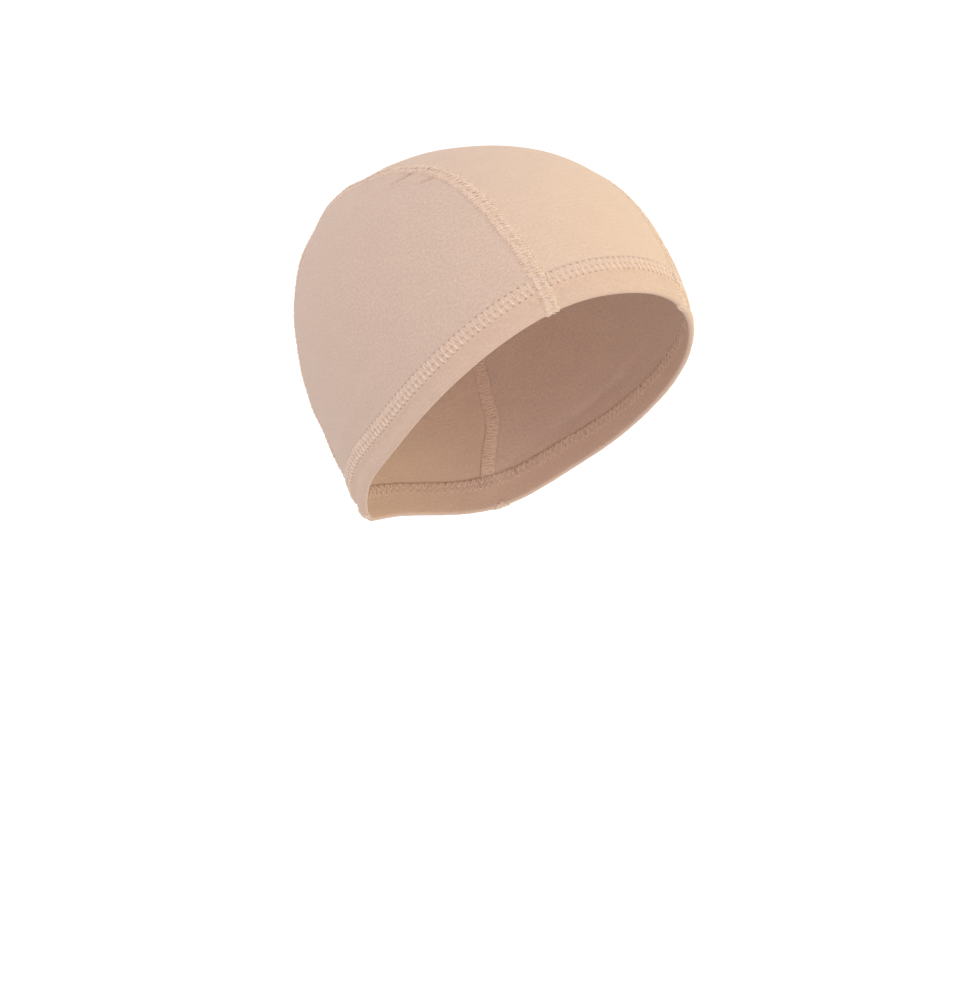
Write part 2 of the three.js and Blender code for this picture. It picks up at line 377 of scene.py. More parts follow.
class Shell:
    """Collects grids of points into one piece, with a field of vectors at its points."""

    def __init__(self):
        self.points, self.quads, self.fields, self.count = [], [], [], 0

    def add(self, points, quads, fields):
        flat = points.reshape(-1, 3)
        self.points.append(flat)
        self.fields.append(fields.reshape(-1, 3))
        self.quads.append(quads + self.count)
        self.count += len(flat)

    def piece(self, name, material, slot, field, replaced=()):
        piece = make_object(name, np.concatenate(self.points), np.concatenate(self.quads),
                            material)
        layer = piece.data.attributes.new(field, "FLOAT_VECTOR", "POINT")
        values = np.concatenate(self.fields)
        layer.data.foreach_set("vector", values.astype(np.float32).ravel())
        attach(piece, "root")
        if replaced:
            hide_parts(*replaced)
        return piece


def rim_quads(rows, columns, offset):
    """Joins the edges of an outer grid to those of an inner grid after it."""
    ids = np.arange(rows * columns).reshape(rows, columns)
    loop = np.r_[ids[0, :], ids[1:, -1], ids[-1, -2::-1], ids[-2:0:-1, 0]]
    ahead = np.roll(loop, -1)
    return np.stack([ahead, loop, loop + offset, ahead + offset], -1)


# ---------------- materials
class Nodes:
    def __init__(self, name):
        self.material = bpy.data.materials.new(name)
        self.material.use_nodes = True
        self.tree = self.material.node_tree
        self.shader = self.tree.nodes["Principled BSDF"]

    def new(self, kind, **settings):
        node = self.tree.nodes.new(kind)
        for key, value in settings.items():
            if key in node.inputs:
                node.inputs[key].default_value = value
            else:
                setattr(node, key, value)
        return node

    def link(self, out, into):
        self.tree.links.new(out, into)

    def surface(self, settings):
        for key, value in settings.items():
            self.shader.inputs[key].default_value = value

    def split(self, vector):
        node = self.new("ShaderNodeSeparateXYZ")
        self.link(vector, node.inputs[0])
        return node.outputs

    def math(self, operation, a, b=None):
        node = self.new("ShaderNodeMath", operation=operation)
        for socket, value in zip(node.inputs, (a, b)):
            if value is None:
                continue
            if isinstance(value, (int, float)):
                socket.default_value = value
            else:
                self.link(value, socket)
        return node.outputs[0]

    def vector_of(self, field):
        node = self.new("ShaderNodeAttribute", attribute_name=field)
        return node.outputs["Vector"]

    def stretched(self, vector, scale):
        node = self.new("ShaderNodeVectorMath", operation="MULTIPLY")
        self.link(vector, node.inputs[0])
        node.inputs[1].default_value = scale
        return node.outputs[0]

    def noise(self, vector, scale, detail=2.0, roughness=0.5):
        node = self.new("ShaderNodeTexNoise", Scale=scale, Detail=detail, Roughness=roughness)
        self.link(vector, node.inputs["Vector"])
        return node.outputs["Fac"]

    def tint(self, colour, factor, low, high):
        """Multiplies a colour by a grey between low and high."""
        limits = {"From Min": 0.3, "From Max": 0.7, "To Min": low, "To Max": high}
        spread = self.new("ShaderNodeMapRange", **limits)
        self.link(factor, spread.inputs["Value"])
        scale = self.new("ShaderNodeVectorMath", operation="SCALE")
        if isinstance(colour, tuple):
            scale.inputs[0].default_value = colour
        else:
            self.link(colour, scale.inputs[0])
        self.link(spread.outputs["Result"], scale.inputs["Scale"])
        return scale.outputs[0]

    def bump(self, height, strength, distance, under=None):
        node = self.new("ShaderNodeBump", Strength=strength, Distance=distance)
        self.link(height, node.inputs["Height"])
        if under is not None:
            self.link(under, node.inputs["Normal"])
        return node.outputs["Normal"]


def linear(colour):
    """Linear light from sRGB values of 0 to 255."""
    return tuple(((c / 255 + 0.055) / 1.055) ** 2.4 for c in colour)


def jersey_material(name, colour, grain=1.0, lines=1.0, holes=False):
    """Fine weft-knit jersey, its columns run along the field's first axis; with holes, painted
    shade browns it by the field's third axis.
    """
    n = Nodes(name)
    field = n.vector_of("cloth_mm")
    along, across, depth = n.split(field)
    wales = n.math("DIVIDE", across, 0.78)
    from_middle = n.math("ABSOLUTE", n.math("SUBTRACT", n.math("FRACT", wales), 0.5))
    slant = n.math("MULTIPLY", from_middle, 1.1)
    course = n.math("ADD", n.math("DIVIDE", along, 0.62), slant)
    stitch = n.math("SINE", n.math("MULTIPLY", course, 2 * math.pi))
    column = n.math("COSINE", n.math("MULTIPLY", n.math("MULTIPLY", wales, 2), 2 * math.pi))
    knit = n.math("ADD", n.math("MULTIPLY", stitch, 0.5), n.math("MULTIPLY", column, 0.4))
    fibre = n.noise(field, 0.85, 4.0, 0.8)
    streak = n.noise(n.stretched(field, (0.12, 1.3, 1.0)), 1.0, 3.0, 0.6)
    patch = n.noise(field, 0.07, 3.0, 0.55)
    shade = n.tint(linear(colour), streak, 1 - 0.025 * lines, 1 + 0.025 * lines)
    shade = n.tint(shade, fibre, 1 - 0.15 * grain, 1 + 0.15 * grain)
    shade = n.tint(shade, patch, 0.985, 1.015)
    if holes:
        # painted shade: the needle holes and the hollows beside the thread are multiplied towards
        # brown by their depth, standing in for the shade inside them
        hole_shade = n.new("ShaderNodeMix", data_type="RGBA", blend_type="MULTIPLY")
        n.link(depth, hole_shade.inputs["Factor"])
        n.link(shade, hole_shade.inputs[6])
        hole_shade.inputs[7].default_value = (0.62, 0.46, 0.34, 1.0)
        shade = hole_shade.outputs[2]
    n.link(shade, n.shader.inputs["Base Color"])
    n.surface({"Roughness": 0.9, "Specular IOR Level": 0.25, "Sheen Weight": 0.12,
               "Sheen Roughness": 0.55, "Sheen Tint": (1.0, 0.93, 0.87, 1.0)})
    coarse = n.bump(streak, 0.35, 0.00035)
    fuzz = n.bump(fibre, 0.5, 0.00025, coarse)
    n.link(n.bump(knit, 0.35, 0.00012, fuzz), n.shader.inputs["Normal"])
    return n.material


def thread_material(name, colour):
    """Twisted spun thread, the field holds the run, the turn round it and its own tone."""
    n = Nodes(name)
    field = n.vector_of("thread_mm")
    run, round_it, tone = n.split(field)
    twist = n.math("ADD", n.math("DIVIDE", run, 0.55), round_it)
    ply = n.math("SINE", n.math("MULTIPLY", twist, 2 * math.pi * 2))
    fibre = n.noise(n.stretched(field, (2.0, 4.0, 7.0)), 1.6, 3.0, 0.6)
    shade = n.tint(linear(colour), tone, 0.93, 1.05)
    shade = n.tint(shade, fibre, 0.93, 1.05)
    n.link(shade, n.shader.inputs["Base Color"])
    n.surface({"Roughness": 0.72, "Specular IOR Level": 0.35, "Sheen Weight": 0.2,
               "Sheen Roughness": 0.5, "Sheen Tint": (1.0, 0.95, 0.9, 1.0)})
    fuzz = n.bump(fibre, 0.4, 0.00008)
    n.link(n.bump(ply, 0.5, 0.00006, fuzz), n.shader.inputs["Normal"])
    return n.material


side_jersey = jersey_material("side_jersey_cloth", (219, 193, 176), lines=0.6)
centre_jersey = jersey_material("centre_jersey_cloth", (226, 199, 179), grain=0.65, lines=1.2)
# the hem and seam cloth get painted shade in their holes and hollows
hem_jersey = jersey_material("hem_jersey_cloth", (222, 193, 173), grain=0.8, holes=True)
seam_jersey = jersey_material("seam_jersey_cloth", (229, 201, 180), grain=1.8, holes=True)
thread = thread_material("cover_thread", (251, 230, 213))


# ---------------- panels
PANEL_UNDER_SEAM = 1.0
# the panels end this far above the hem's top row
PANEL_ABOVE_HEM = 0.15
SIDE_ALONG = 300
SIDE_ACROSS = 112
CENTRE_ALONG = 250
CENTRE_ACROSS = 84
# rows of a side panel lie closer near the seam
SIDE_SPREAD = 1.3
# radii that turn angles into millimetres for the cloth's pattern
SIDE_REACH = 88
CENTRE_REACH = 98
# slope of the side's hem, which the knit follows
SIDE_SLOPE = 31 * DEGREE
# over angle and spread of the creased part, which gets closer columns
CREASED_OVER = 88.0
CREASED_SPREAD = 9.0


def panel_line(extra):
    """Down angle of the panels' lower end by turn, extra mm above the hem's top row."""
    turns = np.linspace(-4, 184, 377)
    d = hem_direction(turns, edge_column(HEM_HEIGHT, turns) + extra)
    away = np.abs(turn_of(d))
    away = np.where(turns < 0, -away, np.where(turns > 180, 360 - away, away))
    down = down_of(d)
    return lambda turn: np.interp(np.abs(turn), away, down)


PANEL_END = panel_line(PANEL_ABOVE_HEM)


def above_end(d):
    """Degrees above the panels' lower end."""
    return PANEL_END(turn_of(d)) - down_of(d)


def trimmed(line, count):
    """Where lines over the head meet the hem, in front and behind, for each of them."""
    ends = []
    for low, high in ((5.0, 90.0), (90.0, 240.0)):
        a, b = np.full(count, low), np.full(count, high)
        low_above = above_end(line(a)) > 0
        for _ in range(30):
            middle = (a + b) / 2
            same = (above_end(line(middle)) > 0) == low_above
            a, b = np.where(same, middle, a), np.where(same, b, middle)
        ends.append((a + b) / 2)
    return ends


def between(one, two, share):
    """A direction on the arc from one direction to another."""
    angle = np.arccos(np.clip(dot(one, two), -1, 1))
    safe = np.maximum(angle, 1e-6)
    first = np.sin((1 - share) * safe) / np.sin(safe)
    return unit(one * first + two * np.sin(share * safe) / np.sin(safe))


def panel_piece(name, node, side, grid, field, cloth):
    """One panel's cloth with both faces and its rim, from a grid of directions."""
    rows, columns = grid.shape[:2]
    relief = cloth_relief(grid, side)
    outer = layer_point(grid, relief)
    inner = layer_point(grid, relief - CLOTH)
    shell = Shell()
    quads = grid_quads(rows, columns)
    both = [quads, quads[:, ::-1] + rows * columns, rim_quads(rows, columns, rows * columns)]
    points = np.concatenate([outer.reshape(-1, 3), inner.reshape(-1, 3)])
    inside = field + np.array([0, 0, 1.0])
    fields = np.concatenate([field.reshape(-1, 3), inside.reshape(-1, 3)])
    faces = np.concatenate(both)
    # turned so that the faces look out
    a, b, c = (points[quads[0, k]] for k in (0, 1, 2))
    if np.cross(b - a, c - a) @ (a + LOWER) < 0:
        faces = faces[:, ::-1]
    shell.add(points, faces, fields)
    return shell.piece(name, cloth, "jersey", "cloth_mm", (node,))


def side_field(grid, side):
    """Millimetres over the side panel from its middle, first axis along the hem's slope."""
    angle = np.arccos(np.clip(grid[..., 0] * side, -1, 1))
    around = np.arctan2(grid[..., 2], -grid[..., 1])
    reach = SIDE_REACH * angle
    first = reach * np.cos(around - SIDE_SLOPE)
    second = reach * np.sin(around - SIDE_SLOPE)
    return np.stack([first, second, np.zeros_like(first)], -1)


def side_panel(name, node, side):
    edge = SEAM_WIDTH / 2 - PANEL_UNDER_SEAM
    line = lambda over: seam_direction(side, over, np.full(np.shape(over), edge))
    low, high = (float(x[0]) for x in trimmed(line, 1))
    even = np.linspace(0, 1, 2001)
    place = low + even * (high - low)
    weight = np.cumsum(1 + 2 * np.exp(-((place - CREASED_OVER) / CREASED_SPREAD) ** 2))
    weight = (weight - weight[0]) / (weight[-1] - weight[0])
    along = 0.004 + 0.992 * np.interp(np.linspace(0, 1, SIDE_ALONG), weight, even)
    top = line(low + along * (high - low))
    ends = turn_of(line(np.array([low, high])))
    turn = ends[0] + along * (ends[1] - ends[0])
    bottom = direction_from(turn, PANEL_END(turn))
    across = np.linspace(0, 1, SIDE_ACROSS)[None, :, None] ** SIDE_SPREAD
    grid = between(top[:, None, :], bottom[:, None, :], across)
    return panel_piece(name, node, side, grid, side_field(grid, side), side_jersey)


def centre_panel(name, node):
    edge = -(SEAM_WIDTH / 2 - PANEL_UNDER_SEAM)
    share = np.linspace(0, 1, CENTRE_ACROSS)
    along = np.linspace(0, 1, CENTRE_ALONG)[:, None]

    def line(over):
        flat = np.full(np.shape(over), edge)
        right, left = seam_direction(-1, over, flat), seam_direction(1, over, flat)
        return between(right, left, np.broadcast_to(share, np.shape(over))[..., None])
    low, high = trimmed(line, CENTRE_ACROSS)
    grid = line(low + along * (high - low))
    points = form_point(grid)
    over = np.arctan2(points[..., 2] + INNER_CROWN, -points[..., 1])
    over = np.where(over < -math.pi / 2, over + 2 * math.pi, over)
    field = np.stack([points[..., 0], CENTRE_REACH * over, np.zeros_like(over)], -1)
    return panel_piece(name, node, 0, grid, field, centre_jersey)


centre_cloth = centre_panel("centre_cloth", "centre_panel")
side_right = side_panel("side_cloth_right", "side_panel_right", -1)
side_left = side_panel("side_cloth_left", "side_panel_left", 1)

# ---------------- hem surface
STITCH = 2.9
ROWS = [(0.0, 0.0), (3.2, -0.7), (5.8, 0.3)]
# out from the form, by depth below the top row of stitches, down to STITCHED_DEPTH
STITCHED = np.array([(-0.35, 0.01), (-0.15, 0.04), (0.0, 0.07), (0.4, 0.20),
                     (1.0, 0.36), (1.7, 0.42), (2.5, 0.38), (3.0, 0.28), (3.2, 0.26),
                     (3.5, 0.30), (4.1, 0.42), (4.7, 0.44), (5.3, 0.34), (5.7, 0.18),
                     (5.9, 0.15), (6.3, 0.18), (7.0, 0.22)])
# out from the form, by share of the plain fold below the stitching
FOLDED = np.array([(0.0, 0.50), (0.12, 0.85), (0.25, 1.0), (0.4, 0.75), (0.55, 0.25),
                   (0.7, -0.15), (0.82, -0.25), (0.92, -0.1), (1.0, 0.22)])
STITCHED_DEPTH = 7.0
HEM_TOP = -0.35
FOLD_UP = 1.2
FOLD_RADIUS = 1.15
FOLD_MIDDLE = -0.65
INNER_OUT = -1.8


def cubic(table, x):
    """Reads a two-column table with a smooth curve through its points."""
    xs, ys = table[:, 0], table[:, 1]
    slope = np.gradient(ys, xs)
    k = np.clip(np.searchsorted(xs, x) - 1, 0, len(xs) - 2)
    h = xs[k + 1] - xs[k]
    u = np.clip((x - xs[k]) / h, 0, 1)
    first = (2 * u ** 3 - 3 * u ** 2 + 1) * ys[k] + (u ** 3 - 2 * u ** 2 + u) * h * slope[k]
    return first + (3 * u ** 2 - 2 * u ** 3) * ys[k + 1] + (u ** 3 - u ** 2) * h * slope[k + 1]


HOLE_DEPTH = 0.36
# half width and half height of a needle hole
HOLE_SIZE = (0.46, 0.26)
STEPS_PER_STITCH = 8
STITCHES = int(round(HEM_LENGTH / STITCH))
PITCH = HEM_LENGTH / STITCHES
row_shift = rng.normal(0, 0.14, (3, STITCHES))
row_size = rng.uniform(0.65, 1.2, (3, STITCHES)) * np.array([[0.95], [0.65], [0.95]])
row_height = rng.normal(0, 0.07, (3, STITCHES))


def ripple(run, wavelength, seed):
    """Noise that closes on itself round the hem."""
    draw = np.random.default_rng(seed)
    total = 0.0
    for _ in range(9):
        turns = max(1, round(HEM_LENGTH / wavelength * draw.uniform(0.6, 1.5)))
        angle = 2 * math.pi * turns * run / HEM_LENGTH + draw.uniform(0, 2 * math.pi)
        total = total + np.sin(angle)
    return total * 0.45


def holes(run, below):
    """Depth of the needle holes, from 0 to 1, also the amount of painted shade in them."""
    depth = 0.0
    for k, (row, shift) in enumerate(ROWS):
        phase = (run - shift) / PITCH
        n = np.round(phase).astype(int) % STITCHES
        gap = (phase - np.round(phase)) * PITCH - row_shift[k, n]
        rise = below - row - row_height[k, n]
        spread = (gap / HOLE_SIZE[0]) ** 2 + (rise / HOLE_SIZE[1]) ** 2
        depth = depth + row_size[k, n] * np.exp(-spread)
    return depth


def hem_out(run, up, height):
    """Outer face of the hem, out from the form."""
    below = height - up
    share = np.clip((up - FOLD_UP) / (height - STITCHED_DEPTH - FOLD_UP), 0, 1)
    out = np.where(below < STITCHED_DEPTH, cubic(STITCHED, below), cubic(FOLDED, share))
    out = np.where(below < HEM_TOP, 0.0, out)
    fold = smoothstep(STITCHED_DEPTH, 9.5, below) * (1 - 0.5 * smoothstep(0.25, 0.0, share))
    out = out + fold * (0.10 * ripple(run, 17, 11) + 0.06 * ripple(run - 1.3 * below, 7, 12))
    hollow = np.exp(-((below - 9.5) / 2.2) ** 2)
    out = out + 0.11 * hollow * ripple(run - 0.9 * below, 4.5, 13)
    out = out - HOLE_DEPTH * holes(run, below)
    # the cloth swells between the stitches
    swell = 0.06 * np.cos(2 * math.pi * (run - 1.5) / PITCH)
    return out + swell * np.exp(-((below - 3.0) / 3.0) ** 2)


def wrap(run, h, height):
    """Unrolled height to the place on the hem: up, out and the normal in that plane."""
    arc = (FOLD_UP - h) / FOLD_RADIUS
    round_part = (arc > 0) & (arc < math.pi)
    angle = np.clip(arc, 0, math.pi)
    inner = arc >= math.pi
    up = np.where(round_part, FOLD_UP - FOLD_RADIUS * np.sin(angle), h)
    up = np.where(inner, FOLD_UP + (arc - math.pi) * FOLD_RADIUS, up)
    flat = hem_out(run, np.maximum(h, FOLD_UP), height)
    lift = flat - 0.5
    out = np.where(round_part, FOLD_MIDDLE + FOLD_RADIUS * np.cos(angle), flat)
    out = out + np.where(round_part, lift * 0.5 * (1 + np.cos(angle)), 0)
    out = np.where(inner, INNER_OUT, out)
    slope = (hem_out(run, np.maximum(h, FOLD_UP) + 0.3, height) - flat) / 0.3
    nu = np.where(round_part, -np.sin(angle), np.where(inner, 0.0, -slope * 0.6))
    no = np.where(round_part, np.cos(angle), np.where(inner, -1.0, 1.0))
    size = np.hypot(nu, no)
    return up, out, nu / size, no / size


def hem_surface(run, h, lift=0.0):
    """A point on the hem's unrolled surface, raised by lift, with its normal."""
    turn = turn_at(run)
    height = edge_column(HEM_HEIGHT, turn)
    up, out, nu, no = wrap(run, h, height)
    edge, along, upward, _ = edge_frame(turn)
    d = direction_to(edge + upward * up[..., None])
    normal = form_normal(d)
    rise = unit(upward - normal * dot(upward, normal))
    outward = unit(normal * no[..., None] + rise * nu[..., None])
    base = form_point(d) + normal * out[..., None]
    return base + outward * np.asarray(lift)[..., None], outward


def hem_piece():
    steps = STITCHES * STEPS_PER_STITCH
    run = np.arange(steps) / steps * HEM_LENGTH
    turn = turn_at(run)
    height = edge_column(HEM_HEIGHT, turn)
    # rows down the stitching, down the plain fold, round the edge and up the inside
    below = (HEM_TOP, -0.18, 0.0, 0.18, 0.45, 0.9, 1.5, 2.1, 2.6, 2.95, 3.15, 3.35, 3.65, 4.1,
             4.6, 5.1, 5.5, 5.72, 5.9, 6.1, 6.4, STITCHED_DEPTH)
    rows = [height - b for b in below]
    for share in (0.92, 0.82, 0.7, 0.58, 0.46, 0.34, 0.22, 0.1, 0.0):
        rows.append(FOLD_UP + share * (height - STITCHED_DEPTH - FOLD_UP))
    for k in range(1, 8):
        rows.append(np.full(steps, FOLD_UP - FOLD_RADIUS * math.pi * k / 7))
    low = FOLD_UP - FOLD_RADIUS * math.pi
    for share in (0.25, 0.5, 0.75, 1.0):
        rows.append(low - share * (height - 0.5 - FOLD_UP))
    grid = []
    field = []
    for h in rows:
        points, _ = hem_surface(run, h)
        grid.append(points)
        # the third value is the holes' depth, which the hem's material turns into painted shade
        field.append(np.stack([run, h, holes(run, height - h)], -1))
    # raw cut edge of the turned-up cloth, then back under the panel
    edge_wave = 0.18 * ripple(run, 5, 21) + 0.1 * ripple(run, 1.9, 22)
    for up, out in ((height - 0.1 + edge_wave, -1.72), (height + 0.08 + edge_wave, -1.35),
                    (height + 0.1 + edge_wave, -0.85), (height + 0.3, -0.35)):
        d = hem_direction(turn, up)
        grid.append(layer_point(d, np.full(steps, out)))
        field.append(np.stack([run, up, np.zeros(steps)], -1))
    points = np.stack(grid, 1)
    columns = points.shape[1]
    quads = grid_quads(steps, columns, wrap_rows=True, wrap_columns=True)
    shell = Shell()
    shell.add(points, quads, np.stack(field, 1))
    return shell.piece("hem_cloth", hem_jersey, "hem_jersey", "cloth_mm", ("hem_band",))


hem_cloth = hem_piece()

# ---------------- seam bands
# across from the middle and out, over the outer face and round the inner one
SEAM_FACE = np.array([
    (-3.6, -0.25), (-3.5, 0.02), (-3.2, 0.10), (-2.9, 0.24), (-2.4, 0.36), (-1.8, 0.40),
    (-1.1, 0.36), (-0.5, 0.28), (0.0, 0.26), (0.6, 0.34), (1.3, 0.42), (2.1, 0.44),
    (2.8, 0.40), (3.2, 0.30), (3.5, 0.08), (3.6, -0.25)])
SEAM_INNER = np.array([
    (-3.3, -0.8), (-3.2, -1.1), (-2.4, -1.3), (-1.2, -1.22), (0, -1.3), (1.2, -1.22),
    (2.4, -1.3), (3.2, -1.1), (3.3, -0.8), (2.0, -0.6), (0.0, -0.6), (-2.0, -0.6)])
RUNG = 1.45
# distance between the rough tufts
TUFT_RUNG = 2.45
# unrolled heights on the hem where the parts of a seam end, below 0 past its lower edge
FACE_END, THREAD_END, INNER_END, INNER_THREAD_END = -16.5, -9.0, 15.3, 16.5
FACE_STEP, INNER_STEP = 0.42, 0.6
BAND_UNDER = -0.42


def band_base(side, over, q):
    """The outer face that a seam lies on, panel and then hem, with its normal."""
    d = seam_direction(side, over, q)
    turn, h = hem_coordinates(d)
    height = edge_column(HEM_HEIGHT, turn)
    on_hem, hem_normal = hem_surface(run_at(turn), np.minimum(h, height + 1.0))
    on_panel, panel_normal = form_point(d), form_normal(d)
    share = smoothstep(height + 1.2, height + 0.6, h)[..., None]
    normal = unit(panel_normal + share * (hem_normal - panel_normal))
    return on_panel + share * (on_hem - on_panel), normal


def seam_ends(limit):
    """Run along the seam where it reaches an unrolled height, in front and behind."""
    crown = len(OVERS) // 2
    front = np.interp(limit, SEAM_HEM[:crown], SEAM_RUN[:crown])
    back = np.interp(-limit, -SEAM_HEM[crown:], SEAM_RUN[crown:])
    return front, back


def seam_piece(name, node, side):
    shell = Shell()
    low, high = seam_ends(FACE_END)
    count = int((high - low) / FACE_STEP)
    run = np.linspace(low, high, count)
    over = over_at(run)
    q, lift = SEAM_FACE.T
    oo, qq = np.meshgrid(over, q, indexing="ij")
    rr = np.broadcast_to(run[:, None], oo.shape)
    base, normal = band_base(side, oo, qq)
    wobble = 0.05 * wave_noise(base, 4.0, 31) + 0.05 * wave_noise(base, 1.8, 32)
    # hollows along the seam's edges and middle, which dent the band and, through its field, get
    # painted shade in the material
    shaded_hollows = np.zeros_like(qq)
    for centre, size, start in ((-3.1, 0.7, 0.0), (-0.1, 0.3, 0.8), (3.0, 0.8, 0.4)):
        beat = 0.5 + 0.5 * np.cos(2 * math.pi * (rr - start) / RUNG)
        patchy = np.clip(0.5 + 0.6 * wave_noise(base, 3.0, int(centre * 10) + 90), 0, 1)
        shaded_hollows += size * beat * patchy * np.exp(-((qq - centre) / 0.4) ** 2)
    outer = base + normal * (lift[None] + wobble - 0.16 * shaded_hollows)[..., None]
    under = base[:, ::-1] + normal[:, ::-1] * BAND_UNDER
    ring = np.concatenate([outer, under[:, 2:-2]], 1)
    field = np.stack([rr, qq, shaded_hollows], -1)
    under_field = np.stack([rr, qq + 50, np.zeros_like(qq)], -1)[:, ::-1]
    field = np.concatenate([field, under_field[:, 2:-2]], 1)
    add_ring(shell, ring, field, side)
    # the seam's inner face, between the raw edges of the hem
    low, high = seam_ends(INNER_END)
    count = int((high - low) / INNER_STEP)
    run = np.linspace(low, high, count)
    over = over_at(run)
    q, out = SEAM_INNER.T
    oo, qq = np.meshgrid(over, q, indexing="ij")
    d = seam_direction(side, oo, qq)
    bumps = 0.05 * wave_noise(form_point(d), 3.0, 33)
    ring = layer_point(d, out[None] + bumps)
    rr = np.broadcast_to(run[:, None], oo.shape)
    field = np.stack([rr, qq + 100, np.zeros_like(qq)], -1)
    add_ring(shell, ring, field, -side)
    return shell.piece(name, seam_jersey, "seam_thread", "cloth_mm", (node,))


def cap_quads(rows, columns, side):
    """Closes both ends of a ring grid with strips of quads."""
    faces = []
    for row, flip in ((0, False), (rows - 1, True)):
        ids = row * columns + np.arange(columns)
        half = columns // 2
        for k in range(half - 1):
            quad = [ids[k], ids[k + 1], ids[columns - 2 - k], ids[columns - 1 - k]]
            if len(set(quad)) < 4:
                continue
            faces.append(quad[::-1] if flip else quad)
    faces = np.array(faces)
    return faces if side < 0 else faces[:, ::-1]


def add_ring(shell, ring, field, side):
    """A closed band round a seam, with both its ends."""
    rows, columns = ring.shape[:2]
    quads = grid_quads(rows, columns, wrap_columns=True)
    if side > 0:
        quads = quads[:, ::-1]
    shell.add(ring, np.concatenate([quads, cap_quads(rows, columns, side)]), field)


seam_right = seam_piece("seam_band_right", "seam_right", -1)
seam_left = seam_piece("seam_band_left", "seam_left", 1)


# ---------------- thread
SEAM_SAMPLES = 7
INNER_SAMPLES = 6
INNER_SEAM_RADIUS = 0.2
INNER_HEM_RADIUS = 0.19
# the ends of a strand are this share of its thickness
THIN_END = 0.45


def tubes(shell, centres, normals, radius, sides=6, tone=0.5):
    """Round strands, centres of shape strands x samples x 3."""
    strands, samples = centres.shape[:2]
    tangent = unit(np.gradient(centres, axis=1))
    upward = unit(normals - tangent * dot(normals, tangent))
    across = np.cross(tangent, upward)
    angle = np.arange(sides) / sides * 2 * math.pi
    radius = np.broadcast_to(radius, (strands, samples)).copy()
    radius[:, 0] *= THIN_END
    radius[:, -1] *= THIN_END
    ring = centres[:, :, None, :] + radius[:, :, None, None] * (
        np.cos(angle)[None, None, :, None] * upward[:, :, None, :]
        + np.sin(angle)[None, None, :, None] * across[:, :, None, :])
    run = np.concatenate([np.zeros((strands, 1)), np.cumsum(
        np.linalg.norm(np.diff(centres, axis=1), axis=-1), axis=1)], 1)
    field = np.empty(ring.shape)
    field[..., 0] = run[:, :, None]
    field[..., 1] = (angle / (2 * math.pi))[None, None, :]
    field[..., 2] = np.broadcast_to(np.asarray(tone, float).reshape(-1, 1, 1), ring.shape[:3])
    quads = grid_quads(samples, sides, wrap_columns=True)
    caps = []
    for k in range(sides // 2 - 1):
        start = [k, k + 1, sides - 2 - k, sides - 1 - k]
        caps.append(start)
        caps.append([(samples - 1) * sides + x for x in start[::-1]])
    quads = np.concatenate([quads, np.array(caps)])[:, ::-1]
    every = (np.arange(strands) * samples * sides)[:, None, None] + quads[None]
    shell.add(ring, every.reshape(-1, 4), field)


def seam_rise(run, h):
    """How far threads on the hem rise where they cross a seam."""
    turn = turn_at(run)
    distance, _ = seam_distance(form_point(hem_direction(turn, h)))
    return 0.5 * smoothstep(4.4, 3.2, distance)


def hem_strands(shell, start, end, depth_one, depth_two, radius, rise, samples=8):
    """One strand for every stitch, from one row of the hem to another."""
    k = np.arange(STITCHES)
    jitter = rng.normal(0, 0.13, (STITCHES, 2))
    u = np.linspace(0, 1, samples)
    one = k[:, None] * PITCH + start + jitter[:, :1]
    two = k[:, None] * PITCH + end + jitter[:, 1:]
    run = one + (two - one) * u
    below = depth_one + (depth_two - depth_one) * u[None]
    below = below + rng.normal(0, 0.05, (STITCHES, 1))
    height = edge_column(HEM_HEIGHT, turn_at(run))
    h = height - below
    arch = np.minimum(np.sin(math.pi * u) ** 0.45, 1.0)
    size = rng.uniform(0.85, 1.15, (STITCHES, 1))
    points, normal = hem_surface(run, h)
    # over the forehead the stitching is pulled flat
    full = 0.3 + 0.7 * smoothstep(35, 62, np.abs(turn_at(run)))
    lift = (rise * size - 0.12 * (1 - full)) * arch[None] - 0.12 * (1 - arch[None])
    lift = lift + seam_rise(run, h)
    centres = points + normal * lift[..., None]
    thick = radius * size * (0.6 + 0.4 * full)
    tubes(shell, centres, normal, thick, tone=rng.uniform(0.3, 0.7, STITCHES))


# start and end along the hem, their depths below its top row, radius and rise
HEM_STRANDS = [
    # lower row of fat strands, leaning towards the front at the bottom
    (0.34, 0.84, 3.05, 5.75, 0.31, 0.11),
    (0.80, 1.36, 3.05, 5.75, 0.30, 0.09),
    # upper row, two upright and one slanting to the same hole
    (0.74, 0.72, 0.1, 3.1, 0.25, 0.10),
    (1.36, 1.02, 0.1, 3.1, 0.22, 0.07),
    (-1.0, 0.28, 0.15, 3.1, 0.25, 0.08),
]
hem_thread = Shell()
for strand in HEM_STRANDS:
    hem_strands(hem_thread, *strand)
# needle thread, a short stitch along each row
for depth, shift in ROWS:
    hem_strands(hem_thread, shift + 0.55, shift + PITCH - 0.55, depth, depth, 0.15, 0.06, 5)
hem_thread_piece = hem_thread.piece("hem_thread", thread, "seam_thread", "thread_mm")


